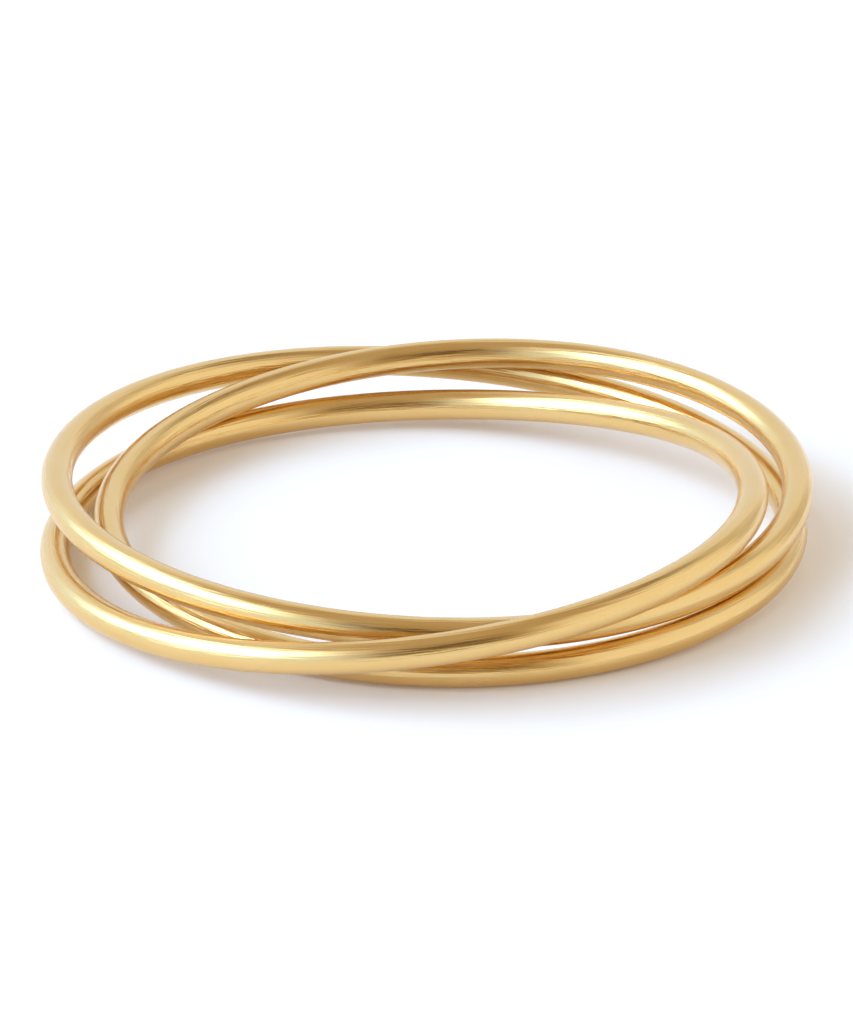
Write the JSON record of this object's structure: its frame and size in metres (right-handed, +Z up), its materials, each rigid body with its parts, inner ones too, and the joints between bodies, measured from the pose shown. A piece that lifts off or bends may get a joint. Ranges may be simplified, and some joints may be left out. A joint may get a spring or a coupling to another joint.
{
  "type": "layered ring",
  "caption": "Finger ring of round gold wire: a plain closed ring linked with a wire wound twice, lying on its side with its strands crossing loosely",
  "frame": {"origin": "middle of the outline on the surface that the ring lies on", "axes": "+Z up, along the finger's axis; -Y is the front that the picture shows, +X its right side"},
  "size_m": [0.0222, 0.023, 0.0029],
  "materials": {
    "gold_wire": "warm yellow gold, softly polished, with faint drawn and burnished marks"
  },
  "bodies": {
    "root": {"plain_ring_wire": "gold_wire", "double_ring_wire": "gold_wire"}
  },
  "joints": []
}
